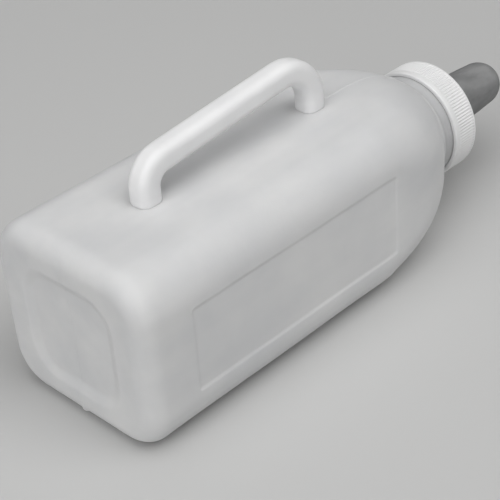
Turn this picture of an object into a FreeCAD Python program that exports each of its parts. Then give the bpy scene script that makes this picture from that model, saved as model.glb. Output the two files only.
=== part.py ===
import FreeCAD, Part
import Sketcher
import math
import os
import re

# A hand-held calf feeding bottle, lying on its back wall with the handle up.
# +X runs along the bottle from its base to the teat, and +Z points to the handle side.
# Every piece is drawn with X = 0 on the outer face of the base and the bottle's own
# axis on the X axis. Its Placement then centres it and lifts it on to the ground.

doc = FreeCAD.newDocument("calf_feeding_bottle")
sheet = doc.addObject("Spreadsheet::Sheet", "Sizes")

sizes = {
    # barrel, a rounded square
    "body_width": 120.0,
    "body_depth": 109.0,
    "wall": 2.2,
    "corner_radius": 25.0,
    "base_radius": 12.0,
    # shoulder, where each pair of walls turns in along a superellipse
    "straight_length": 196.0,
    "shoulder_length": 81.0,
    "side_turn_lag": 11.0,
    "side_turn_over": 5.2,
    "side_turn_power": 2.36,
    "back_turn_lag": 24.0,
    "back_turn_over": 13.5,
    "back_turn_power": 2.2,
    # neck and its single-start thread
    "finish_radius": 32.4,
    "neck_wall": 2.8,
    "collar_stand": 1.8,
    "collar_length": 7.5,
    "neck_step": 0.25,
    "neck_length": 25.0,
    "thread_pitch": 6.0,
    "thread_height": 1.6,
    "thread_root": 3.0,
    "thread_crest": 1.4,
    "thread_embed": 0.4,
    "neck_thread_turns": 1.75,
    "cap_thread_turns": 1.25,
    "thread_lead_in": 2.8,
    # shallow panels pressed into the side walls and the base
    "panel_start": 34.6,
    "panel_reach": 2.0,
    "panel_height": 51.8,
    "panel_corner": 6.0,
    "panel_sink": 0.8,
    "base_panel_size": 66.0,
    "base_panel_corner": 17.0,
    "base_panel_sink": 2.4,
    # handle, moulded into the wall by its two feet
    "near_foot": 62.6,
    "far_foot_back": 3.2,
    "near_rise": 20.5,
    "far_rise": 32.7,
    "near_bend": 13.5,
    "far_bend": 23.0,
    "handle_width": 14.4,
    "handle_thickness": 15.0,
    "handle_round": 5.5,
    "foot_depth": 5.0,
    "foot_flange": 2.2,
    "foot_flare": 3.0,
    "boss_margin": 3.0,
    # screw collar
    "cap_wall": 2.4,
    "cap_top": 2.4,
    "cap_height": 21.2,
    "cap_round": 1.6,
    "groove_depth": 0.5,
    "groove_width": 1.1,
    "rib_land": 3.2,
    "rib_count": 116.0,
    # rubber teat
    "flange_thickness": 2.4,
    "flange_inset": 1.0,
    "teat_radius": 18.1,
    "teat_nose": 14.75,
    "teat_reach": 65.4,
    "teat_wall": 2.3,
    "teat_hole": 1.3,
    "vent_radius": 1.0,
    # clearances
    "thread_clearance": 0.4,
    "flank_clearance": 0.3,
    "seat_gap": 0.1,
    "hole_clearance": 0.5,
}

for row, (name, size) in enumerate(sizes.items(), start=1):
    sheet.set(f"A{row}", name)
    sheet.set(f"B{row}", str(size))
    sheet.setAlias(f"B{row}", name)
doc.recompute()


def bound(text):
    # Each word of an expression that names a size is looked up in the sheet.
    return re.sub("[a-z_]+", lambda word: f"Sizes.{word[0]}" if word[0] in sizes else word[0], text)


def value(text):
    return float(sheet.evalExpression(bound(text)))


# Stations along the axis, and radii, that several pieces share.
halfWidth = "( body_width / 2 )"
halfDepth = "( body_depth / 2 )"
shoulderEnd = "( straight_length + shoulder_length )"
neckEnd = f"( {shoulderEnd} + neck_length )"
collarRadius = "( finish_radius + collar_stand )"
boreRadius = "( finish_radius - neck_wall )"
panelEnd = "( straight_length + panel_reach )"
farFoot = "( straight_length - far_foot_back )"
flangeStart = f"( {neckEnd} + seat_gap )"
flangeEnd = f"( {flangeStart} + flange_thickness )"
capCeiling = f"( {flangeEnd} + seat_gap )"
capEnd = f"( {capCeiling} + cap_top )"
capStart = f"( {capEnd} - cap_height )"
teatTip = f"( {capEnd} + teat_reach )"
capBore = "( finish_radius + thread_height + thread_clearance )"
capRadius = f"( {capBore} + cap_wall )"
capThreadCrest = "( finish_radius + thread_clearance )"
neckThreadStart = f"( {neckEnd} - thread_lead_in - thread_pitch * neck_thread_turns )"
threadOffset = "( ( thread_root + thread_crest ) / 2 + flank_clearance )"
capThreadStart = f"( {neckThreadStart} + thread_pitch - {threadOffset} )"


def makeBody(name):
    body = doc.addObject("PartDesign::Body", name)
    body.Label = name
    body.setExpression("Placement.Base.x", bound(f"0 - {teatTip} / 2"))
    body.setExpression("Placement.Base.z", bound(halfDepth))
    return body


def originItem(body, role):
    return [item for item in body.Origin.OriginFeatures if item.Role == role][0]


def makeSketch(body, name, role, offset="0"):
    sketch = body.newObject("Sketcher::SketchObject", name)
    sketch.AttachmentSupport = [(originItem(body, role), "")]
    sketch.MapMode = "FlatFace"
    sketch.setExpression("AttachmentOffset.Base.z", bound(offset))
    return sketch


def bind(sketch, kind, places, expression):
    number = sketch.addConstraint(Sketcher.Constraint(kind, *places, value(expression)))
    sketch.setExpression(f"Constraints[{number}]", bound(expression))


def roundedRectangle(sketch, wide, tall, corner, centreX="0", centreY="0"):
    # Four lines and four tangent arcs about a centre.
    middle = FreeCAD.Vector(value(centreX), value(centreY), 0)
    radius = value(corner)
    inX = value(wide) / 2 - radius
    inY = value(tall) / 2 - radius
    centres = [(inX, -inY), (inX, inY), (-inX, inY), (-inX, -inY)]
    arcs = []
    for index, (x, y) in enumerate(centres):
        circle = Part.Circle(middle + FreeCAD.Vector(x, y, 0), FreeCAD.Vector(0, 0, 1), radius)
        start = math.radians(90 * index - 90)
        arcs.append(Part.ArcOfCircle(circle, start, start + math.pi / 2))
    for index in range(4):
        before = arcs[index - 1]
        sketch.addGeometry(Part.LineSegment(before.EndPoint, arcs[index].StartPoint), False)
        sketch.addGeometry(arcs[index], False)
    for line in (0, 2, 4, 6):
        arc = line + 1
        following = (line + 2) % 8
        sketch.addConstraint(Sketcher.Constraint("Tangent", line, 2, arc, 1))
        sketch.addConstraint(Sketcher.Constraint("Tangent", arc, 2, following, 1))
    sketch.addConstraint(Sketcher.Constraint("Horizontal", 0))
    sketch.addConstraint(Sketcher.Constraint("Vertical", 2))
    sketch.addConstraint(Sketcher.Constraint("Horizontal", 4))
    for arc in (3, 5, 7):
        sketch.addConstraint(Sketcher.Constraint("Equal", 1, arc))
    bind(sketch, "Radius", (1,), corner)
    bind(sketch, "DistanceY", (-1, 1, 0, 1), f"{centreY} - ( {tall} ) / 2")
    bind(sketch, "DistanceY", (-1, 1, 4, 1), f"{centreY} + ( {tall} ) / 2")
    bind(sketch, "DistanceX", (-1, 1, 2, 1), f"{centreX} + ( {wide} ) / 2")
    bind(sketch, "DistanceX", (-1, 1, 6, 1), f"{centreX} - ( {wide} ) / 2")


def outline(sketch, points):
    # A closed polygon whose every corner is placed by two expressions.
    corners = [FreeCAD.Vector(value(x), value(y), 0) for x, y in points]
    count = len(corners)
    for index in range(count):
        sketch.addGeometry(Part.LineSegment(corners[index], corners[(index + 1) % count]), False)
    for index in range(count):
        sketch.addConstraint(Sketcher.Constraint("Coincident", index, 2, (index + 1) % count, 1))
        bind(sketch, "DistanceX", (-1, 1, index, 1), points[index][0])
        bind(sketch, "DistanceY", (-1, 1, index, 1), points[index][1])


def disc(sketch, radius, centreX="0", centreY="0"):
    centre = FreeCAD.Vector(value(centreX), value(centreY), 0)
    sketch.addGeometry(Part.Circle(centre, FreeCAD.Vector(0, 0, 1), value(radius)), False)
    bind(sketch, "Radius", (0,), radius)
    bind(sketch, "DistanceX", (-1, 1, 0, 3), centreX)
    bind(sketch, "DistanceY", (-1, 1, 0, 3), centreY)


def pad(body, name, sketch, length):
    feature = body.newObject("PartDesign::Pad", name)
    feature.Profile = sketch
    feature.setExpression("Length", bound(length))
    return feature


def pocket(body, name, sketch, length, towardsNormal=False):
    before = body.Shape.Volume
    feature = body.newObject("PartDesign::Pocket", name)
    feature.Profile = sketch
    feature.setExpression("Length", bound(length))
    feature.Reversed = towardsNormal
    doc.recompute()
    assert body.Shape.Volume < before, name
    return feature


def revolve(body, name, sketch):
    feature = body.newObject("PartDesign::Revolution", name)
    feature.Profile = sketch
    feature.ReferenceAxis = (originItem(body, "X_Axis"), [""])
    feature.Angle = 360.0
    return feature


def roundEdges(body, name, chosen, radius):
    # Rounds the edges of the newest feature that chosen() picks.
    doc.recompute()
    base = body.Tip
    names = [f"Edge{number}" for number, edge in enumerate(base.Shape.Edges, start=1) if chosen(edge)]
    assert names, name
    feature = body.newObject("PartDesign::Fillet", name)
    feature.Base = (base, names)
    feature.setExpression("Radius", bound(radius))
    return feature


def liesAt(edge, station):
    box = edge.BoundBox
    return abs(box.XMin - station) < 1e-4 and abs(box.XMax - station) < 1e-4


def isRing(edge, station, radius):
    return liesAt(edge, station) and abs(edge.BoundBox.ZMax - radius) < 1e-3


def helix(body, name, sketch, turns):
    feature = body.newObject("PartDesign::AdditiveHelix", name)
    feature.Profile = sketch
    feature.ReferenceAxis = (originItem(body, "X_Axis"), [""])
    feature.Mode = "pitch-turns-angle"
    feature.setExpression("Pitch", bound("thread_pitch"))
    feature.setExpression("Turns", bound(turns))
    feature.LeftHanded = False
    return feature


def turnedIn(half, inset, side, station, end):
    # Half the distance between two walls at a station, from the barrel to the neck.
    length = f"( shoulder_length - {side}_turn_lag + {side}_turn_over - {inset} )"
    along = f"max( 0 ; min( 1 ; ( {station} - straight_length - {side}_turn_lag ) / {length} ) )"
    power = f"{side}_turn_power"
    return f"max( {end} ; ( {half} - {inset} ) * pow( 1 - pow( {along} ; {power} ) ; 1 / {power} ) )"


# Where the shoulder's sections stand between the end of the straight walls and the neck.
shoulderSteps = [0, 0.07, 0.14, 0.29, 0.44, 0.56, 0.66, 0.76, 0.85, 0.93, 1]
# A section of four arcs keeps a trace of each straight side even where it is round.
fullRound = 0.995


def bottleForm(name, inset, neckRadius):
    # The bottle's outer form, or with an inset the form of the space inside it.
    body = makeBody(name)
    wide = f"( body_width - 2 * {inset} )"
    tall = f"( body_depth - 2 * {inset} )"
    corner = f"( corner_radius - {inset} )"
    barrel = makeSketch(body, name + "_barrel_section", "YZ_Plane", inset)
    roundedRectangle(barrel, wide, tall, corner)
    pad(body, name + "_barrel", barrel, f"straight_length - {inset}")
    station = value(inset)
    roundEdges(body, name + "_base_round", lambda edge: liesAt(edge, station), f"base_radius - {inset}")
    doc.recompute()

    sections = []
    for step in shoulderSteps:
        station = f"( straight_length + {step} * shoulder_length )"
        section = makeSketch(body, f"{name}_section_{len(sections)}", "YZ_Plane", station)
        side = turnedIn(halfWidth, inset, "side", station, neckRadius)
        back = turnedIn(halfDepth, inset, "back", station, neckRadius)
        # The corners grow with the taper until the section is round at the neck.
        share = f"( corner_radius / {halfDepth} )"
        corner = f"( ( {share} + ( {fullRound} - {share} ) * {step} ) * min( {side} ; {back} ) )"
        if step == 0:
            corner = f"( corner_radius - {inset} )"
        roundedRectangle(section, f"2 * {side}", f"2 * {back}", corner)
        sections.append(section)
    loft = body.newObject("PartDesign::AdditiveLoft", name + "_shoulder")
    loft.Profile = sections[0]
    loft.Sections = sections[1:]
    loft.Ruled = False
    doc.recompute()
    return body


def pressPanels(body, name, inset, baseMargin):
    # Shallow panels in both side walls, and one in the base.
    for side, towardsNormal in ((1, False), (-1, True)):
        place = f"{side} * ( {halfWidth} - {inset} )"
        panel = makeSketch(body, f"{name}_panel_{side + 1}", "XZ_Plane", place)
        roundedRectangle(panel, f"{panelEnd} - panel_start", "panel_height", "panel_corner",
                         f"( panel_start + {panelEnd} ) / 2")
        pocket(body, f"{name}_panel_cut_{side + 1}", panel, "panel_sink", towardsNormal)
    panel = makeSketch(body, name + "_base_panel", "YZ_Plane", inset)
    size = f"base_panel_size + 2 * {baseMargin}"
    roundedRectangle(panel, size, size, f"base_panel_corner + {baseMargin}")
    pocket(body, name + "_base_cut", panel, "base_panel_sink", True)


# Outer form of the bottle with its neck and thread.
outer = bottleForm("bottle_outer", "0", f"( {collarRadius} - neck_step )")
pressPanels(outer, "outer", "0", "0")
collar = makeSketch(outer, "collar_section", "YZ_Plane", f"{shoulderEnd} - wall / 2")
disc(collar, collarRadius)
pad(outer, "collar", collar, "collar_length + wall / 2")
finish = makeSketch(outer, "finish_section", "YZ_Plane", shoulderEnd)
disc(finish, "finish_radius")
pad(outer, "finish", finish, "neck_length")
doc.recompute()
neckThread = makeSketch(outer, "neck_thread_section", "XZ_Plane")
outline(neckThread, [
    (f"{neckThreadStart} - thread_root / 2", "finish_radius - thread_embed"),
    (f"{neckThreadStart} + thread_root / 2", "finish_radius - thread_embed"),
    (f"{neckThreadStart} + thread_root / 2", "finish_radius"),
    (f"{neckThreadStart} + thread_crest / 2", "finish_radius + thread_height"),
    (f"{neckThreadStart} - thread_crest / 2", "finish_radius + thread_height"),
    (f"{neckThreadStart} - thread_root / 2", "finish_radius"),
])
helix(outer, "neck_thread", neckThread, "neck_thread_turns")
doc.recompute()

# The space inside, with a boss left standing under each foot of the handle.
cavity = bottleForm("bottle_cavity", "wall", f"( {boreRadius} - neck_step )")
pressPanels(cavity, "cavity", "wall", "wall")
bore = makeSketch(cavity, "bore_section", "YZ_Plane", f"{shoulderEnd} - wall / 2")
disc(bore, boreRadius)
pad(cavity, "bore", bore, "neck_length + wall")
doc.recompute()
footWide = "( handle_width + 2 * foot_flare )"
footThick = "( handle_thickness + 2 * foot_flare )"
feet = {"near": "near_foot", "far": farFoot}
for side, foot in feet.items():
    boss = makeSketch(cavity, f"{side}_boss_section", "XY_Plane", f"{halfDepth} - wall")
    roundedRectangle(boss, f"{footWide} + 2 * boss_margin", f"{footThick} + 2 * boss_margin",
                     "handle_round + foot_flare + boss_margin", foot)
    pocket(cavity, f"{side}_boss", boss, "foot_depth")

# Carrying handle: two legs and a sloping grip in one sweep, with a flange on each buried foot.
handle = makeBody("carry_handle")
footBottom = f"( {halfDepth} - foot_depth )"
path = makeSketch(handle, "handle_path", "XZ_Plane")
rises = {"near": f"( {halfDepth} + near_rise )", "far": f"( {halfDepth} + far_rise )"}
nearCorner = FreeCAD.Vector(value("near_foot"), value(rises["near"]), 0)
farCorner = FreeCAD.Vector(value(farFoot), value(rises["far"]), 0)
grip = (farCorner - nearCorner).normalize()
up = FreeCAD.Vector(0, 1, 0)
axis = FreeCAD.Vector(0, 0, 1)
slope = math.atan2(grip.y, grip.x)
nearBend = value("near_bend")
farBend = value("far_bend")
nearReach = nearBend * math.tan((math.pi / 2 - slope) / 2)
farReach = farBend * math.tan((math.pi / 2 + slope) / 2)
nearEnd = FreeCAD.Vector(nearCorner.x, value(footBottom), 0)
farEnd = FreeCAD.Vector(farCorner.x, value(footBottom), 0)
nearCircle = Part.Circle(nearCorner - up * nearReach + FreeCAD.Vector(nearBend, 0, 0), axis, nearBend)
farCircle = Part.Circle(farCorner - up * farReach - FreeCAD.Vector(farBend, 0, 0), axis, farBend)
path.addGeometry(Part.LineSegment(nearEnd, nearCorner - up * nearReach), False)
path.addGeometry(Part.ArcOfCircle(nearCircle, math.pi / 2 + slope, math.pi), False)
path.addGeometry(Part.LineSegment(nearCorner + grip * nearReach, farCorner - grip * farReach), False)
path.addGeometry(Part.ArcOfCircle(farCircle, 0, math.pi / 2 + slope), False)
path.addGeometry(Part.LineSegment(farCorner - up * farReach, farEnd), False)
for ends in ((0, 2, 1, 2), (1, 1, 2, 1), (2, 2, 3, 2), (3, 1, 4, 1)):
    path.addConstraint(Sketcher.Constraint("Tangent", *ends))
path.addConstraint(Sketcher.Constraint("Vertical", 0))
path.addConstraint(Sketcher.Constraint("Vertical", 4))
bind(path, "Radius", (1,), "near_bend")
bind(path, "Radius", (3,), "far_bend")
bind(path, "DistanceX", (-1, 1, 0, 1), "near_foot")
bind(path, "DistanceY", (-1, 1, 0, 1), footBottom)
bind(path, "DistanceX", (-1, 1, 4, 2), farFoot)
bind(path, "DistanceY", (-1, 1, 4, 2), footBottom)
for number, corner, side in ((5, nearCorner, "near"), (6, farCorner, "far")):
    # The grip's line runs through the two points where it would meet the legs.
    path.addGeometry(Part.Point(corner), True)
    bind(path, "DistanceX", (-1, 1, number, 1), feet[side])
    bind(path, "DistanceY", (-1, 1, number, 1), rises[side])
    path.addConstraint(Sketcher.Constraint("PointOnObject", number, 1, 2))
legSection = makeSketch(handle, "leg_section", "XY_Plane", footBottom)
roundedRectangle(legSection, "handle_width", "handle_thickness", "handle_round", "near_foot")
doc.recompute()
sweep = handle.newObject("PartDesign::AdditivePipe", "grip_and_legs")
sweep.Profile = legSection
sweep.Spine = (path, [f"Edge{number}" for number in range(1, 6)])
doc.recompute()
for side, foot in feet.items():
    flange = makeSketch(handle, side + "_flange_section", "XY_Plane", footBottom)
    roundedRectangle(flange, footWide, footThick, "handle_round + foot_flare", foot)
    pad(handle, side + "_flange", flange, "foot_flange")
doc.recompute()

# The bottle's one moulded shell: its form less the space inside, closed round the handle's feet.
hollow = doc.addObject("Part::Cut", "hollow_shell")
hollow.Base = outer
hollow.Tool = cavity
bottle = doc.addObject("Part::Cut", "bottle_body")
bottle.Base = hollow
bottle.Tool = handle
bottle.Label = "bottle_body"
doc.recompute()

# Screw collar: a ring with a ribbed skirt, an inside thread and a hole for the teat.
cap = makeBody("screw_cap")
ring = makeSketch(cap, "cap_section", "XZ_Plane")
capHole = "( teat_radius + hole_clearance )"
outline(ring, [
    (capStart, capBore),
    (capStart, capRadius),
    (capEnd, capRadius),
    (capEnd, capHole),
    (capCeiling, capHole),
    (capCeiling, capBore),
])
revolve(cap, "cap_ring", ring)
rounds = [("cap_rim_round", capEnd, "cap_round"), ("cap_foot_round", capStart, "cap_round / 3")]
for name, station, radius in rounds:
    place = (value(station), value(capRadius))
    roundEdges(cap, name, lambda edge: isRing(edge, *place), radius)
doc.recompute()
groove = makeSketch(cap, "groove_section", "YZ_Plane", f"{capStart} + rib_land")
outline(groove, [
    ("0 - groove_width / 2", f"{capRadius} + groove_depth"),
    ("0 - groove_width / 4", f"{capRadius} - groove_depth"),
    ("groove_width / 4", f"{capRadius} - groove_depth"),
    ("groove_width / 2", f"{capRadius} + groove_depth"),
])
grooveCut = pocket(cap, "groove", groove, "cap_height - 2 * rib_land", True)
grooves = cap.newObject("PartDesign::PolarPattern", "grooves")
grooves.Originals = [grooveCut]
grooves.Axis = (originItem(cap, "X_Axis"), [""])
grooves.Angle = 360.0
grooves.setExpression("Occurrences", bound("rib_count"))
cap.Tip = grooves
doc.recompute()
capThread = makeSketch(cap, "cap_thread_section", "XZ_Plane")
outline(capThread, [
    (f"{capThreadStart} - thread_root / 2", f"{capBore} + thread_embed"),
    (f"{capThreadStart} - thread_root / 2", capBore),
    (f"{capThreadStart} - thread_crest / 2", capThreadCrest),
    (f"{capThreadStart} + thread_crest / 2", capThreadCrest),
    (f"{capThreadStart} + thread_root / 2", capBore),
    (f"{capThreadStart} + thread_root / 2", f"{capBore} + thread_embed"),
])
helix(cap, "cap_thread", capThread, "cap_thread_turns")
doc.recompute()

# Teat: a flange held under the collar, a tapered tube and a round nose with a milk hole.
teat = makeBody("teat")
flangeRadius = f"( {capThreadCrest} - flange_inset )"
noseCentre = f"( {teatTip} - teat_nose )"
innerNose = "( teat_nose - teat_wall )"
innerRoot = "( teat_radius - teat_wall )"
tube = makeSketch(teat, "teat_section", "XZ_Plane")
corners = [
    (noseCentre, innerNose),
    (flangeStart, innerRoot),
    (flangeStart, flangeRadius),
    (flangeEnd, flangeRadius),
    (flangeEnd, "teat_radius"),
    (noseCentre, "teat_nose"),
]
points = [FreeCAD.Vector(value(x), value(y), 0) for x, y in corners]
for index in range(5):
    tube.addGeometry(Part.LineSegment(points[index], points[index + 1]), False)
centre = FreeCAD.Vector(value(noseCentre), 0, 0)
hole = value("teat_hole")
ends = []
for radius in (value("teat_nose"), value(innerNose)):
    circle = Part.Circle(centre, axis, radius)
    arc = Part.ArcOfCircle(circle, math.asin(hole / radius), math.pi / 2)
    ends.append(arc.StartPoint)
    tube.addGeometry(arc, False)
tube.addGeometry(Part.LineSegment(*ends), False)
for index in range(4):
    tube.addConstraint(Sketcher.Constraint("Coincident", index, 2, index + 1, 1))
for place in ((4, 2, 5, 2), (5, 1, 7, 1), (7, 2, 6, 1), (6, 2, 0, 1)):
    tube.addConstraint(Sketcher.Constraint("Coincident", *place))
for arc in (5, 6):
    tube.addConstraint(Sketcher.Constraint("PointOnObject", arc, 3, -1))
    bind(tube, "DistanceX", (-1, 1, arc, 3), noseCentre)
    bind(tube, "DistanceY", (-1, 1, arc, 1), "teat_hole")
for index in range(5):
    bind(tube, "DistanceX", (-1, 1, index, 1), corners[index][0])
    bind(tube, "DistanceY", (-1, 1, index, 1), corners[index][1])
bind(tube, "DistanceX", (-1, 1, 4, 2), noseCentre)
bind(tube, "DistanceY", (-1, 1, 4, 2), "teat_nose")
revolve(teat, "teat_tube", tube)
doc.recompute()
vent = makeSketch(teat, "vent_section", "YZ_Plane", flangeEnd)
disc(vent, "vent_radius", "0", f"( teat_radius + {flangeRadius} ) / 2")
pocket(teat, "vent", vent, "flange_thickness")
doc.recompute()

# Every feature has to be sound before anything is written.
for item in doc.Objects:
    assert not {"Invalid", "Error"} & set(item.State), (item.Name, item.State)
nodes = [bottle, handle, cap, teat]
for node in nodes:
    assert not node.Shape.isNull() and node.Shape.isValid(), node.Label
    assert len(node.Shape.Solids) == 1, node.Label

os.makedirs("parts", exist_ok=True)
for node in nodes:
    node.Shape.exportStep(f"parts/{node.Label}.step")
    box = node.Shape.BoundBox
    print(node.Label, round(node.Shape.Volume / 1000, 1), "cm3",
          [round(side, 1) for side in (box.XMin, box.YMin, box.ZMin, box.XMax, box.YMax, box.ZMax)])
print("holds", round(cavity.Shape.Volume / 1e6, 2), "litres to the rim")
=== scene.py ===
import math

import bpy
from mathutils import Matrix, Vector, noise


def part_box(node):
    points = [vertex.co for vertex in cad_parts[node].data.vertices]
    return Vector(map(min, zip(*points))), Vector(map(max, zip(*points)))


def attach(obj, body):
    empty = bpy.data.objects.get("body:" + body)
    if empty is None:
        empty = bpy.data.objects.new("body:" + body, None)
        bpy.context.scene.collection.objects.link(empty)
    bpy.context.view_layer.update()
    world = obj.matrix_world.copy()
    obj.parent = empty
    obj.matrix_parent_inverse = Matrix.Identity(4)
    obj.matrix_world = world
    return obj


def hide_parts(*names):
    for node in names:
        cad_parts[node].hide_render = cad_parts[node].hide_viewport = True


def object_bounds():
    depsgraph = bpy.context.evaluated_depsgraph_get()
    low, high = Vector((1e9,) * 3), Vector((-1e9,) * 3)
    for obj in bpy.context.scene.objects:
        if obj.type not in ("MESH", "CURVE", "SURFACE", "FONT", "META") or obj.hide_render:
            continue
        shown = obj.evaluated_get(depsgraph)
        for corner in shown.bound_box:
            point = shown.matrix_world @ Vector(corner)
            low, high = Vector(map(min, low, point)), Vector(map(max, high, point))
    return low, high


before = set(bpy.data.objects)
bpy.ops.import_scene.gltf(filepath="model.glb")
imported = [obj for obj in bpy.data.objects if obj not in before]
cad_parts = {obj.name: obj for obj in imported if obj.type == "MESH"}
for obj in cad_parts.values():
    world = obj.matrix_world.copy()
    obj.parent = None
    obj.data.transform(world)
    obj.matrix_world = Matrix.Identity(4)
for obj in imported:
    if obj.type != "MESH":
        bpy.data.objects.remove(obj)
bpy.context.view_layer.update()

# Pieces are shaped in millimetres along the bottle, base at x = 0 and its axis on the X axis,
# then placed in the frame in metres.
mm = 0.001
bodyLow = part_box("bottle_body")[0]
capLow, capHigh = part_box("screw_cap")
place = Vector((bodyLow.x, 0, (capLow.z + capHigh.z) / 2))

# a point is rubbed where no axis has more than this share of its normal, over this spread
rubShare = 0.96
rubSpread = 0.2


def startPiece(name):
    piece = bpy.context.object
    piece.name = name
    piece.data.name = name
    return piece


def freeHands():
    # nothing selected, back in object mode
    if bpy.context.object and bpy.context.object.mode != "OBJECT":
        bpy.ops.object.mode_set(mode="OBJECT")
    bpy.ops.object.select_all(action="DESELECT")


def applyModifier(piece, kind, **settings):
    modifier = piece.modifiers.new(kind.title(), kind)
    for key, setting in settings.items():
        setattr(modifier, key, setting)
    bpy.context.view_layer.objects.active = piece
    bpy.ops.object.modifier_apply(modifier=modifier.name)


def tidyNormals(distance=0.001):
    # in edit mode: merges doubles and turns every face outwards
    bpy.ops.mesh.select_all(action="SELECT")
    bpy.ops.mesh.remove_doubles(threshold=distance)
    bpy.ops.mesh.normals_make_consistent(inside=False)


def settle(piece, body, angle=32):
    # puts a finished piece in the frame and lets it ride
    freeHands()
    piece.select_set(True)
    bpy.context.view_layer.objects.active = piece
    piece.scale = (mm, mm, mm)
    piece.location = place
    bpy.ops.object.transform_apply(location=True, rotation=True, scale=True)
    bpy.ops.object.shade_smooth_by_angle(angle=math.radians(angle))
    rubbed = piece.data.attributes.new("rubbed", "FLOAT", "POINT")
    for vert, mark in zip(piece.data.vertices, rubbed.data):
        # high where the form turns from one side to another, and hands and shelves rub it
        mark.value = smoothStep(rubSpread, rubShare - max(abs(share) for share in vert.normal))
    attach(piece, body)
    print(piece.name, len(piece.data.polygons), "faces")


def smoothStep(edge, value):
    # 0 below zero, 1 past the edge, an even curve between
    share = max(0.0, min(1.0, value / edge))
    return share * share * (3 - 2 * share)


def insidePlate(u, v, halfU, halfV, corner):
    # how far a point is inside a rounded rectangle, negative outside
    du = abs(u) - halfU + corner
    dv = abs(v) - halfV + corner
    outside = math.hypot(max(du, 0), max(dv, 0))
    return corner - outside - min(max(du, dv), 0)


bottle = {
    "halfWidth": 60.0,
    "halfDepth": 54.5,
    "corner": 25.0,
    "baseRound": 12.0,
    "straight": 196.0,
    "neck": 277.0,
    "sideTurn": (207.0, 75.2, 2.36),   # start, length, power
    "backTurn": (220.0, 70.5, 2.2),
    "wall": 2.1,
    "panel": (34.6, 198.0, 25.9),      # from, to, half height
    "panelCorner": 2.2,
    "panelSink": 0.7,
    "panelEdge": 2.6,
    "panelBulge": 0.35,                # its middle swells back out
    "recess": 33.0,                    # half size, in the base
    "recessCorner": 17.0,
    "recessSink": 2.4,
    "recessEdge": 8.0,
    "seamHeight": 0.3,
    "seamWidth": 0.9,
    "seamFrom": 192.0,                 # at the handle's far foot
    "seamGrow": 12.0,
    "baseSeam": 0.5,                   # its share of the height under the base
    "baseSeamGrow": 8.0,
    "nubHeight": 1.1,                  # flash left at the foot of the base
    "nubWidth": 1.6,
    "nubLength": 5.0,
    "nubAbove": 6.0,
    "sag": 0.22,                       # slow waves of a blown wall
    "sagLength": 34.0,
    "rippleShare": 0.4,
    "rippleLength": 15.0,
    "calmNeck": 14.0,                  # the waves die out over this, short of the neck
    "calmGap": 2.0,
}
# where rings stand either side of a panel's end, outside first
panelSteps = [-1.2, -0.6, -0.2, 0.2, 0.6, 1.0]
# radius of the neck against distance from the shoulder's end
neckLine = [
    (0.0, 34.45), (0.5, 34.5), (1.0, 34.35), (1.6, 33.95), (2.3, 33.55), (3.2, 33.4), (4.2, 33.5),
    (5.6, 33.8), (7.0, 34.05), (8.6, 34.2), (9.6, 34.2), (9.9, 33.9), (10.05, 33.2), (10.3, 32.5),
    (10.8, 32.4), (13.0, 32.4), (16.0, 32.4), (20.0, 32.4), (23.2, 32.4), (24.1, 32.2), (24.7, 31.7),
    (25.0, 31.0), (25.0, 30.4),
]


def turnedIn(half, turn, x):
    start, length, power = turn
    share = max(0.0, min(1.0, (x - start) / length))
    return half * (1 - share ** power) ** (1 / power)


def sectionAt(x):
    # half width, half depth and corner radius of the blown body
    side = max(turnedIn(bottle["halfWidth"], bottle["sideTurn"], x), neckLine[0][1])
    back = max(turnedIn(bottle["halfDepth"], bottle["backTurn"], x), neckLine[0][1])
    step = max(0.0, (x - bottle["straight"]) / (bottle["neck"] - bottle["straight"]))
    share = bottle["corner"] / bottle["halfDepth"]
    return side, back, (share + (1 - share) * min(step, 1.0)) * min(side, back)


def onSection(side, back, corner, angle):
    # where a ray at this angle leaves a rounded rectangle
    c, s = abs(math.cos(angle)), abs(math.sin(angle))
    if c * back <= s * (side - corner):
        reach = back / s
    elif s * side <= c * (back - corner):
        reach = side / c
    else:
        cy, cz = side - corner, back - corner
        toward = cy * c + cz * s
        reach = toward + math.sqrt(max(toward * toward - cy * cy - cz * cz + corner * corner, 0))
    return reach * math.cos(angle), reach * math.sin(angle)


def spread(first, last, count):
    return [first + (last - first) * step / count for step in range(count)]


def bottleRings():
    # every ring from the middle of the base to the rim, as (x, half width, half depth, corner)
    rings = []
    flatY = bottle["halfWidth"] - bottle["baseRound"]
    flatZ = bottle["halfDepth"] - bottle["baseRound"]
    flatCorner = bottle["corner"] - bottle["baseRound"]
    for share in [0.0, 0.05, 0.12, 0.2, 0.28, 0.36, 0.44] + spread(0.5, 1.0, 24):
        rings.append((0.0, flatY * share, flatZ * share, flatCorner * share))
    for step in range(11):
        turn = math.radians(9 * step)
        inset = bottle["baseRound"] * (1 - math.sin(turn))
        rings.append((bottle["baseRound"] * (1 - math.cos(turn)), bottle["halfWidth"] - inset,
                      bottle["halfDepth"] - inset, bottle["corner"] - inset))
    first, last = bottle["panel"][:2]
    stations = spread(bottle["baseRound"] + 3.5, first - 1.6, 5)
    stations += [first + step for step in panelSteps]
    stations += spread(first + 2.5, last - 2.2, 52)
    stations += [last - step for step in reversed(panelSteps)]
    stations += spread(last + 3.0, bottle["neck"] - 0.5, 44)
    for x in stations:
        rings.append((x, *sectionAt(x)))
    for beyond, radius in neckLine:
        rings.append((bottle["neck"] + beyond, radius, radius, radius))
    return rings


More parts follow.
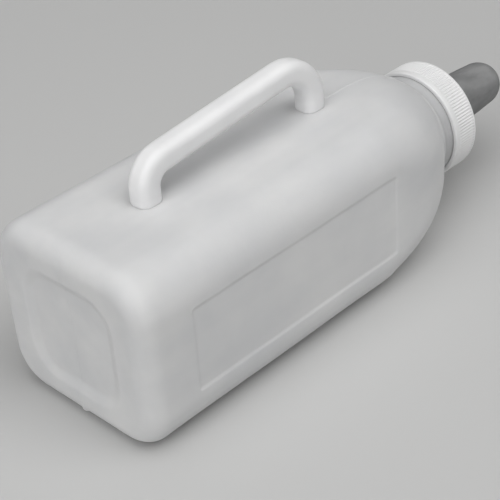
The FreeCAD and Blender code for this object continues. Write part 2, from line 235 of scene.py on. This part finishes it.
def bottleAngles():
    # close together at a panel's edge and beside the seam, mirrored into all four quarters
    quarter = spread(0, 21.5, 6) + [21.5, 22.4, 22.85, 23.2, 23.55, 23.9, 24.5, 25.4]
    quarter += spread(26.3, 57.4, 15) + spread(57.4, 86.5, 9) + [86.5, 88.0, 88.7, 89.3, 89.7]
    angles = quarter + [90.0] + [180 - angle for angle in reversed(quarter[1:])]
    return [math.radians(angle) for angle in angles + [angle + 180 for angle in angles]]


def bottleRelief(point):
    # how far the wall stands out from its plain form
    x, y, z = point
    first, last, high = bottle["panel"]
    calm = smoothStep(bottle["calmNeck"], bottle["neck"] - bottle["calmGap"] - x)
    rise = bottle["sag"] * noise.noise(Vector((x, y, z)) / bottle["sagLength"]) * calm
    ripple = noise.noise(Vector((y, z, x)) / bottle["rippleLength"])
    rise += bottle["rippleShare"] * bottle["sag"] * ripple * calm
    if abs(y) > bottle["halfWidth"] - 0.5:
        inside = insidePlate(x - (first + last) / 2, z, (last - first) / 2, high, bottle["panelCorner"])
        edge = bottle["panelEdge"]
        swell = bottle["panelBulge"] * max(0.0, 1 - (z / high) ** 2)
        rise -= (bottle["panelSink"] - swell) * smoothStep(edge, inside + edge / 2)
    if x < 0.01:
        inside = insidePlate(y, z, bottle["recess"], bottle["recess"], bottle["recessCorner"])
        edge = bottle["recessEdge"]
        rise -= bottle["recessSink"] * smoothStep(edge, inside + edge / 2)
    if x < bottle["neck"] - 0.2:
        seam = 1 - smoothStep(bottle["seamWidth"], abs(y))
        shoulder = smoothStep(bottle["seamGrow"], x - bottle["seamFrom"])
        base = bottle["baseSeam"] * smoothStep(bottle["baseSeamGrow"], bottle["baseRound"] - x)
        rise += seam * bottle["seamHeight"] * max(shoulder, base)
        nub = max(0.0, 1 - abs(z + bottle["halfDepth"] - bottle["nubAbove"]) / bottle["nubLength"])
        if x < bottle["baseRound"] and nub:
            rise += bottle["nubHeight"] * nub * (1 - smoothStep(bottle["nubWidth"], abs(y)))
    return rise


rings = bottleRings()
angles = bottleAngles()
freeHands()
bpy.ops.mesh.primitive_grid_add(x_subdivisions=len(rings) - 1, y_subdivisions=len(angles), size=2)
shell = startPiece("bottle_shell")
for vert in shell.data.vertices:
    row = round((vert.co.x + 1) / 2 * (len(rings) - 1))
    column = round((vert.co.y + 1) / 2 * len(angles)) % len(angles)
    x, side, back, corner = rings[row]
    vert.co = (x, 0, 0) if side == 0 else (x, *onSection(side, back, corner, angles[column]))
bpy.ops.object.mode_set(mode="EDIT")
tidyNormals(0.0005)
bpy.ops.object.mode_set(mode="OBJECT")
lift = [vert.normal * bottleRelief(vert.co) for vert in shell.data.vertices]
for vert, move in zip(shell.data.vertices, lift):
    vert.co += move
applyModifier(shell, "SOLIDIFY", thickness=bottle["wall"], offset=-1, use_even_offset=False)
settle(shell, "bottle", 40)
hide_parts("bottle_body")

thread = {
    "neck": 32.4,        # radius of the neck's wall, and of the collar's
    "cap": 34.4,
    "height": 1.6,
    "pitch": 6.0,
    "root": 3.0,         # width at the wall and at the crest
    "crest": 1.4,
    "leadIn": 22.0,      # degrees over which a thread runs out at each end
    "stepsPerTurn": 96,
    "buried": 0.4,       # how far its foot goes into the wall
    "edge": 0.3,
    "neckStart": 288.7,
    "neckTurns": 1.75,
    "capStart": 292.2,
    "capTurns": 1.25,
}


def makeThread(name, foot, tip, start, turns, body):
    # foot is the radius it grows from, tip the radius of its crest
    freeHands()
    bpy.ops.mesh.primitive_plane_add(size=1, location=(0, 0, 0), rotation=(math.pi / 2, 0, 0))
    piece = startPiece(name)
    bpy.ops.object.transform_apply(location=False, rotation=True, scale=False)
    buried = foot - thread["buried"] * (1 if tip > foot else -1)
    steps = int(thread["stepsPerTurn"] * turns)
    for vert in piece.data.vertices:
        wide = thread["crest"] if vert.co.z > 0 else thread["root"]
        radius = tip if vert.co.z > 0 else buried
        vert.co = (start + math.copysign(wide / 2, vert.co.x), 0, radius)
    applyModifier(piece, "SCREW", axis="X", angle=2 * math.pi * turns, screw_offset=thread["pitch"] * turns,
                  steps=steps, render_steps=steps, use_merge_vertices=False)
    for vert in piece.data.vertices:
        # runs out into the wall at both ends
        x, y, z = vert.co
        radius = math.hypot(y, z)
        angle = math.degrees(math.atan2(-y, z))
        turned = angle + 360 * round(((x - start) / thread["pitch"] * 360 - angle) / 360)
        height = smoothStep(thread["leadIn"], min(turned, turns * 360 - turned) + 0.5)
        grown = buried / radius + (1 - buried / radius) * height
        vert.co = (x, y * grown, z * grown)
    bpy.ops.object.mode_set(mode="EDIT")
    bpy.ops.mesh.select_all(action="SELECT")
    bpy.ops.mesh.fill_holes(sides=8)
    tidyNormals()
    bpy.ops.object.mode_set(mode="OBJECT")
    applyModifier(piece, "BEVEL", width=thread["edge"], segments=2, limit_method="ANGLE",
                  angle_limit=math.radians(35))
    settle(piece, body, 40)


makeThread("neck_thread", thread["neck"], thread["neck"] + thread["height"],
           thread["neckStart"], thread["neckTurns"], "bottle")
makeThread("cap_thread", thread["cap"], thread["cap"] - thread["height"],
           thread["capStart"], thread["capTurns"], "screw_cap")

handle = {
    "nearFoot": 62.6,
    "farFoot": 192.8,
    "nearHeight": 75.0,      # where the grip's line would meet each leg
    "farHeight": 87.2,
    "nearBend": 13.5,
    "farBend": 23.0,
    "width": 14.9,
    "thick": 15.4,
    "rounding": 5.3,
    "buried": 3.6,           # how far each foot starts under the deck
    "nearSteps": 9,
    "gripSteps": 14,
    "farSteps": 12,
}


def roundedOutline(piece, wide, thick, rounding):
    # pushes a circle's points out to a rounded rectangle
    for vert in piece.data.vertices:
        angle = math.atan2(vert.co.y, vert.co.x)
        x, y = onSection(wide / 2, thick / 2, rounding, angle)
        vert.co.x, vert.co.y = x, y


slope = math.atan2(handle["farHeight"] - handle["nearHeight"], handle["farFoot"] - handle["nearFoot"])
nearReach = handle["nearBend"] * math.tan((math.pi / 2 - slope) / 2)
farReach = handle["farBend"] * math.tan((math.pi / 2 + slope) / 2)
gripWay = Vector((math.cos(slope), 0, math.sin(slope)))
nearTop = handle["nearHeight"] - nearReach
farTop = handle["farHeight"] - farReach
gripLength = (Vector((handle["farFoot"], 0, handle["farHeight"]))
              - Vector((handle["nearFoot"], 0, handle["nearHeight"]))).length - nearReach - farReach
footStart = bottle["halfDepth"] - handle["buried"]

freeHands()
bpy.ops.mesh.primitive_circle_add(vertices=32, radius=1, fill_type="NGON", location=(0, 0, 0))
grip = startPiece("handle_grip")
roundedOutline(grip, handle["thick"], handle["width"], handle["rounding"])
for vert in grip.data.vertices:
    vert.co += Vector((handle["nearFoot"], 0, footStart))
bpy.ops.object.mode_set(mode="EDIT")
bpy.ops.mesh.select_all(action="SELECT")


def pushOn(way, grow=1.0, centre=None):
    # extrudes the end face and swells it about its middle
    bpy.ops.mesh.extrude_region_move(TRANSFORM_OT_translate={"value": way})
    if grow != 1.0:
        bpy.ops.transform.resize(value=(grow, grow, 1), center_override=centre)


# up from a foot's start: how far, and how much the outline swells or draws in there
footSteps = [(3.1, 0.965), (0.5, 1.0), (0.4, 1.035), (0.6, 1.01), (2.0, 1.0), (4.0, 1.0)]
height = footStart
for rise, grow in footSteps:
    height += rise
    pushOn((0, 0, rise), grow, (handle["nearFoot"], 0, height))
pushOn((0, 0, nearTop - height))
bpy.ops.mesh.spin(steps=handle["nearSteps"], angle=math.pi / 2 - slope,
                  center=(handle["nearFoot"] + handle["nearBend"], 0, nearTop), axis=(0, -1, 0), dupli=False)
for step in range(handle["gripSteps"]):
    pushOn(tuple(gripWay * gripLength / handle["gripSteps"]))
bpy.ops.mesh.spin(steps=handle["farSteps"], angle=math.pi / 2 + slope,
                  center=(handle["farFoot"] - handle["farBend"], 0, farTop), axis=(0, -1, 0), dupli=False)
reach = sum(rise for rise, grow in footSteps)
height = footStart + reach
pushOn((0, 0, height - farTop))
for rise, grow in reversed(footSteps):
    height -= rise
    pushOn((0, 0, -rise), 1 / grow, (handle["farFoot"], 0, height))
tidyNormals()
bpy.ops.object.mode_set(mode="OBJECT")
applyModifier(grip, "SUBSURF", levels=1, render_levels=1)
settle(grip, "bottle", 60)
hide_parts("carry_handle")

collar = {
    "radius": 36.8,
    "ribs": 116,
    "ribDepth": 0.55,
    "ribFrom": 289.9,
    "ribTo": 304.6,
}
# one rib and its groove, as shares of the groove's depth
ribShape = [-1.0, -0.72, -0.16, 0.0, -0.16, -0.72]


def spinLine(name, line, steps):
    # draws a closed line in the XZ plane point by point and spins it round the bottle's axis
    freeHands()
    bpy.ops.mesh.primitive_plane_add(size=1, location=(0, 0, 0))
    piece = startPiece(name)
    bpy.ops.object.mode_set(mode="EDIT")
    bpy.ops.mesh.select_all(action="SELECT")
    bpy.ops.mesh.merge(type="CENTER")
    bpy.ops.transform.translate(value=(line[0][0], 0, line[0][1]))
    for before, after in zip(line, line[1:]):
        move = (after[0] - before[0], 0, after[1] - before[1])
        bpy.ops.mesh.extrude_region_move(TRANSFORM_OT_translate={"value": move})
    bpy.ops.mesh.select_all(action="SELECT")
    bpy.ops.mesh.spin(steps=steps, angle=2 * math.pi, center=(0, 0, 0), axis=(1, 0, 0), dupli=False)
    tidyNormals()
    bpy.ops.object.mode_set(mode="OBJECT")
    return piece


capLine = [
    (286.1, 34.4), (285.85, 34.5), (285.8, 34.8), (285.8, 36.0), (285.9, 36.4), (286.25, 36.7), (286.7, 36.8),
    (288.4, 36.8), (289.6, 36.8), (289.9, 36.8), (290.3, 36.8), (291.5, 36.8), (294.5, 36.8), (297.5, 36.8),
    (300.5, 36.8), (303.0, 36.8), (304.2, 36.8), (304.6, 36.8), (304.9, 36.8), (305.6, 36.75), (306.2, 36.45),
    (306.7, 35.95), (306.95, 35.3), (307.0, 34.6), (307.0, 31.2), (306.9, 30.9), (306.5, 30.5), (306.4, 30.2),
    (306.4, 22.0), (306.5, 21.7), (306.9, 21.3), (307.0, 21.0), (307.0, 19.4), (306.9, 18.95), (306.55, 18.65),
    (306.1, 18.6), (304.9, 18.6), (304.6, 18.9), (304.6, 33.6), (304.3, 34.2), (303.8, 34.4), (295.0, 34.4),
    (286.1, 34.4),
]
capSteps = collar["ribs"] * len(ribShape)
cap = spinLine("cap_ring", capLine, capSteps)
for vert in cap.data.vertices:
    x, y, z = vert.co
    radius = math.hypot(y, z)
    if radius > collar["radius"] - 0.01 and collar["ribFrom"] - 0.2 < x < collar["ribTo"] + 0.1:
        column = round(math.atan2(y, z) / (2 * math.pi) * capSteps) % len(ribShape)
        runOut = smoothStep(0.5, x - collar["ribFrom"] + 0.15) * smoothStep(0.5, collar["ribTo"] + 0.15 - x)
        radius += collar["ribDepth"] * ribShape[column] * runOut
        vert.co = (x, y * radius / collar["radius"], z * radius / collar["radius"])
settle(cap, "screw_cap", 50)
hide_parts("screw_cap")

rubber = {
    "flangeStart": 302.1,
    "flangeEnd": 304.5,
    "root": 18.1,
    "stem": 18.0,
    "stemStart": 309.2,
    "nose": 14.75,
    "tip": 372.4,
    "wall": 2.3,
    "hole": 1.3,
    "ventRadius": 1.0,
}
noseAt = rubber["tip"] - rubber["nose"]


def teatLine():
    # up the inside, out round the flange and along the outside to the milk hole
    inner = rubber["nose"] - rubber["wall"]
    line = [(noseAt + inner * math.sin(turn), inner * math.cos(turn))
            for turn in [math.acos(rubber["hole"] / inner) * step / 12 for step in range(12, -1, -1)]]
    rootInside = rubber["root"] - rubber["wall"]
    for step in range(1, 12):
        share = step / 12
        line.append((noseAt + (rubber["flangeStart"] - noseAt) * share, inner + (rootInside - inner) * share))
    line += [(302.6, 15.75), (302.2, 16.1), (302.1, 16.6), (302.1, 24.0), (302.1, 31.2), (302.25, 31.6),
             (302.7, 31.8), (303.9, 31.8), (304.35, 31.6), (304.5, 31.2), (304.5, 28.0), (304.5, 19.6),
             (304.6, 18.8), (305.1, 18.3), (306.0, 18.1), (308.0, 18.0), (308.6, 18.1),
             (rubber["stemStart"], rubber["stem"])]
    for step in range(1, 17):
        share = step / 16
        line.append((rubber["stemStart"] + (noseAt - rubber["stemStart"]) * share,
                     rubber["stem"] + (rubber["nose"] - rubber["stem"]) * share))
    last = math.acos((rubber["hole"] + 0.35) / rubber["nose"])
    for step in range(1, 17):
        turn = last * step / 16
        line.append((noseAt + rubber["nose"] * math.sin(turn), rubber["nose"] * math.cos(turn)))
    line.append((rubber["tip"] - 0.45, rubber["hole"]))
    line.append(line[0])
    return line


teat = spinLine("teat_rubber", teatLine(), 128)
for vert in teat.data.vertices:
    # a fine line where the two halves of the mould met, and hand-soft walls
    x, y, z = vert.co
    radius = math.hypot(y, z)
    if x > rubber["flangeEnd"] + 2 and radius > 2:
        outer = radius > rubber["nose"] - 0.9 or x > noseAt + 2
        seam = 1 - smoothStep(0.9, abs(z))
        rise = 0.1 * seam + 0.1 * noise.noise(vert.co / 11) if outer else 0
        vert.co = (x, y * (1 + rise / radius), z * (1 + rise / radius))
freeHands()
bpy.ops.mesh.primitive_cylinder_add(vertices=24, radius=rubber["ventRadius"], depth=8,
                                    location=(303.3, 0, 24.95), rotation=(0, math.pi / 2, 0))
drill = startPiece("vent_drill")
applyModifier(teat, "BOOLEAN", operation="DIFFERENCE", object=drill, solver="EXACT")
bpy.data.objects.remove(drill)
settle(teat, "teat", 35)
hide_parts("teat")
print("pieces shaped")


def newFinish(name, settings):
    # a Principled surface whose constant values sit on its own sockets
    finish = bpy.data.materials.new(name)
    finish.use_nodes = True
    surface = finish.node_tree.nodes["Principled BSDF"]
    for socket, setting in settings.items():
        surface.inputs[socket].default_value = setting
    return finish, finish.node_tree, surface


def addNode(tree, kind, spot, **settings):
    node = tree.nodes.new(kind)
    node.location = spot
    for key, setting in settings.items():
        setattr(node, key, setting)
    return node


def grain(tree, coords, spot, scale, detail=3.0, stretch=(1, 1, 1), rough=0.5):
    # noise on the piece's own coordinates, in metres
    mapping = addNode(tree, "ShaderNodeMapping", (spot[0] - 200, spot[1]))
    mapping.inputs["Scale"].default_value = stretch
    cloud = addNode(tree, "ShaderNodeTexNoise", spot)
    cloud.inputs["Scale"].default_value = scale
    cloud.inputs["Detail"].default_value = detail
    cloud.inputs["Roughness"].default_value = rough
    tree.links.new(coords.outputs["Object"], mapping.inputs["Vector"])
    tree.links.new(mapping.outputs["Vector"], cloud.inputs["Vector"])
    return cloud


def blendColour(tree, source, spot, low, high, first, second):
    ramp = addNode(tree, "ShaderNodeValToRGB", spot)
    ramp.color_ramp.elements[0].position = low
    ramp.color_ramp.elements[1].position = high
    ramp.color_ramp.elements[0].color = (*first, 1)
    ramp.color_ramp.elements[1].color = (*second, 1)
    tree.links.new(source, ramp.inputs["Fac"])
    return ramp


def spreadValue(tree, source, spot, low, high, fromLow=0.3, fromHigh=0.7):
    ranger = addNode(tree, "ShaderNodeMapRange", spot)
    ranger.inputs["From Min"].default_value = fromLow
    ranger.inputs["From Max"].default_value = fromHigh
    ranger.inputs["To Min"].default_value = low
    ranger.inputs["To Max"].default_value = high
    tree.links.new(source, ranger.inputs["Value"])
    return ranger


def addBump(tree, height, spot, strength, distance, under=None):
    bump = addNode(tree, "ShaderNodeBump", spot)
    bump.inputs["Strength"].default_value = strength
    bump.inputs["Distance"].default_value = distance
    tree.links.new(height, bump.inputs["Height"])
    if under:
        tree.links.new(under.outputs["Normal"], bump.inputs["Normal"])
    return bump


def mouldedPlastic(name, pale, deep, settings, roughLow, roughHigh, cloudScale, grainDepth, scratch=0.25,
                   neckShadeFrom=None):
    # milky plastic: cloudy colour, die-drawn streaks, fine grain and hairline scuffs; with a start given,
    # painted shade darkens the neck
    finish, tree, surface = newFinish(name, settings)
    coords = addNode(tree, "ShaderNodeTexCoord", (-1500, 0))
    cloud = grain(tree, coords, (-1000, 400), cloudScale, 4.0)
    streak = grain(tree, coords, (-1000, 150), 60, 2.0, (0.12, 1, 1))
    mix = addNode(tree, "ShaderNodeMix", (-760, 300), data_type="FLOAT")
    mix.inputs[0].default_value = 0.35
    tree.links.new(cloud.outputs["Fac"], mix.inputs[2])
    tree.links.new(streak.outputs["Fac"], mix.inputs[3])
    tone = blendColour(tree, mix.outputs[0], (-560, 300), 0.36, 0.64, deep, pale)
    speck = grain(tree, coords, (-1000, -120), 900, 2.0)
    scuff = grain(tree, coords, (-1000, -380), 420, 3.0, (0.06, 1, 0.8), 0.6)
    line = spreadValue(tree, scuff.outputs["Fac"], (-760, -380), 0, 1, 0.62, 0.72)
    rub = addNode(tree, "ShaderNodeAttribute", (-1000, -640), attribute_name="rubbed")
    often = spreadValue(tree, rub.outputs["Fac"], (-760, -640), 0.3, 1.0, 0, 1)
    scored = addNode(tree, "ShaderNodeMath", (-560, -420), operation="MULTIPLY")
    tree.links.new(line.outputs["Result"], scored.inputs[0])
    tree.links.new(often.outputs["Result"], scored.inputs[1])
    haze = spreadValue(tree, cloud.outputs["Fac"], (-560, 20), roughLow, roughHigh)
    worn = addNode(tree, "ShaderNodeMath", (-380, -60), operation="MULTIPLY_ADD")
    worn.inputs[1].default_value = 0.12
    tree.links.new(scored.outputs["Value"], worn.inputs[0])
    tree.links.new(haze.outputs["Result"], worn.inputs[2])
    fine = addBump(tree, speck.outputs["Fac"], (-380, -260), 0.35, grainDepth)
    marks = addBump(tree, scored.outputs["Value"], (-200, -320), scratch, 0.00003, fine)
    if neckShadeFrom:
        # painted shade: the base colour falls to 0.8 over the first 3 mm of the neck, standing in for the
        # shade there, with the thread and the teat's flange behind its thin wall
        apart = addNode(tree, "ShaderNodeSeparateXYZ", (-1000, 620))
        paintedNeckShade = addNode(tree, "ShaderNodeMapRange", (-760, 620))
        paintedNeckShade.inputs["From Min"].default_value = neckShadeFrom
        paintedNeckShade.inputs["From Max"].default_value = neckShadeFrom + 0.003
        paintedNeckShade.inputs["To Min"].default_value = 1.0
        paintedNeckShade.inputs["To Max"].default_value = 0.80
        shade = addNode(tree, "ShaderNodeVectorMath", (-260, 420), operation="SCALE")
        tree.links.new(coords.outputs["Object"], apart.inputs["Vector"])
        tree.links.new(apart.outputs["X"], paintedNeckShade.inputs["Value"])
        tree.links.new(tone.outputs["Color"], shade.inputs[0])
        tree.links.new(paintedNeckShade.outputs["Result"], shade.inputs["Scale"])
        tree.links.new(shade.outputs["Vector"], surface.inputs["Base Color"])
    else:
        tree.links.new(tone.outputs["Color"], surface.inputs["Base Color"])
    tree.links.new(worn.outputs["Value"], surface.inputs["Roughness"])
    tree.links.new(marks.outputs["Normal"], surface.inputs["Normal"])
    return finish


# the bottle's finish carries painted shade on the neck, from just before the shoulder's end
milkyFinish = mouldedPlastic(
    "milky polyethylene", (0.705, 0.706, 0.708), (0.635, 0.64, 0.65),
    {"IOR": 1.5, "Subsurface Weight": 0.55, "Subsurface Radius": (1.0, 1.0, 1.05), "Subsurface Scale": 0.006,
     "Specular IOR Level": 0.36}, 0.50, 0.62, 26, 0.00008, neckShadeFrom=place.x + 0.2765)
handleFinish = mouldedPlastic(
    "solid handle plastic", (0.86, 0.86, 0.86), (0.80, 0.80, 0.805),
    {"IOR": 1.5, "Subsurface Weight": 0.3, "Subsurface Radius": (1.0, 1.0, 1.0), "Subsurface Scale": 0.003},
    0.46, 0.56, 40, 0.00006)
capFinish = mouldedPlastic(
    "white cap plastic", (0.84, 0.84, 0.84), (0.80, 0.80, 0.80),
    {"IOR": 1.5, "Subsurface Weight": 0.15, "Subsurface Radius": (1.0, 1.0, 1.0), "Subsurface Scale": 0.0015},
    0.34, 0.44, 60, 0.00004, 0.15)


def rubberFinish():
    # grey rubber: mottled bloom and fine pores
    finish, tree, surface = newFinish("grey teat rubber", {"IOR": 1.52, "Specular IOR Level": 0.35})
    coords = addNode(tree, "ShaderNodeTexCoord", (-1500, 0))
    bloom = grain(tree, coords, (-1000, 350), 85, 4.0, (0.4, 1, 1), 0.55)
    tone = blendColour(tree, bloom.outputs["Fac"], (-560, 350), 0.3, 0.7,
                       (0.15, 0.152, 0.154), (0.28, 0.282, 0.282))
    pore = addNode(tree, "ShaderNodeTexVoronoi", (-1000, -150))
    pore.inputs["Scale"].default_value = 900
    tree.links.new(coords.outputs["Object"], pore.inputs["Vector"])
    haze = spreadValue(tree, bloom.outputs["Fac"], (-560, 60), 0.55, 0.72)
    fine = addBump(tree, pore.outputs["Distance"], (-380, -150), 0.3, 0.00008)
    soft = addBump(tree, bloom.outputs["Fac"], (-200, -200), 0.4, 0.0003, fine)
    tree.links.new(tone.outputs["Color"], surface.inputs["Base Color"])
    tree.links.new(haze.outputs["Result"], surface.inputs["Roughness"])
    tree.links.new(soft.outputs["Normal"], surface.inputs["Normal"])
    return finish


teatFinish = rubberFinish()
finishes = {
    "bottle_shell": milkyFinish,
    "neck_thread": milkyFinish,
    "handle_grip": handleFinish,
    "cap_ring": capFinish,
    "cap_thread": capFinish,
    "teat_rubber": teatFinish,
}
for name, finish in finishes.items():
    data = bpy.data.objects[name].data
    data.materials.clear()
    data.materials.append(finish)
print("materials made")

stage = {
    "floorSize": 30.0,
    "floorColour": (0.55, 0.55, 0.545),
    "airColour": (1.0, 1.0, 1.0),
    "airStrength": 0.13,
    "backdrop": 0.45,
}
freeHands()
bpy.ops.mesh.primitive_plane_add(size=stage["floorSize"], location=(0, 0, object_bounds()[0].z))
floor = startPiece("studio_floor")
floorFinish = newFinish("pale floor", {"Roughness": 0.9, "Base Color": (*stage["floorColour"], 1)})[0]
floor.data.materials.append(floorFinish)

world = bpy.data.worlds.new("studio air")
bpy.context.scene.world = world
world.use_nodes = True
air = world.node_tree.nodes["Background"]
air.inputs["Color"].default_value = (*stage["airColour"], 1)
# the backdrop is seen paler than the light it gives
seen = addNode(world.node_tree, "ShaderNodeLightPath", (-500, 100))
paler = addNode(world.node_tree, "ShaderNodeMapRange", (-260, 100))
paler.inputs["To Min"].default_value = stage["airStrength"]
paler.inputs["To Max"].default_value = stage["backdrop"]
world.node_tree.links.new(seen.outputs["Is Camera Ray"], paler.inputs["Value"])
world.node_tree.links.new(paler.outputs["Result"], air.inputs["Strength"])


def hangLight(name, kind, way, power):
    # way is the direction it shines in
    data = bpy.data.lights.new(name, kind)
    data.energy = power
    lamp = bpy.data.objects.new(name, data)
    lamp.rotation_euler = Vector(way).to_track_quat("-Z", "Y").to_euler()
    bpy.context.collection.objects.link(lamp)
    return lamp


overhead = hangLight("overhead softbox", "AREA", (0.17, 0.35, -0.95), 3.1)
overhead.location = (-0.25, -0.35, 1.0)
overhead.data.shape = "RECTANGLE"
overhead.data.size = 1.0
overhead.data.size_y = 0.9
# the fills stand so far off that they reach the whole floor evenly
fills = [
    ("left fill", (4.1, 0.9, -1.94), 1.02, 48),
    ("front fill", (-1.5, 2.75, -3.45), 0.52, 41),
    ("skylight", (0.12, 0.22, -1), 1.0, 70),
]
for name, way, power, width in fills:
    hangLight(name, "SUN", way, power).data.angle = math.radians(width)

view = {
    "azimuth": -43.512,
    "elevation": 33.67,
    "roll": -4.854,
    "lens": 102.7,
    "aim": (-0.03617, 0.0, 0.0545),
    "slide": (0.009127, 0.019312),   # across and up, from the aim
    "distance": 0.837636,
}
turn, tilt, roll = (math.radians(view[key]) for key in ("azimuth", "elevation", "roll"))
back = Vector((math.sin(turn) * math.cos(tilt), -math.cos(turn) * math.cos(tilt), math.sin(tilt)))
right = Vector((math.cos(turn), math.sin(turn), 0))
above = back.cross(right)
across = math.cos(roll) * right + math.sin(roll) * above
upward = -math.sin(roll) * right + math.cos(roll) * above
cameraData = bpy.data.cameras.new("camera")
cameraData.lens = view["lens"]
cameraData.sensor_width = 36
cameraData.clip_start = 0.01
camera = bpy.data.objects.new("camera", cameraData)
bpy.context.collection.objects.link(camera)
spot = Vector(view["aim"]) - across * view["slide"][0] - upward * view["slide"][1] + back * view["distance"]
camera.matrix_world = Matrix.Translation(spot) @ Matrix((across, upward, back)).transposed().to_4x4()
bpy.context.scene.camera = camera
bpy.context.scene.view_settings.view_transform = "Standard"
print("scene lit")
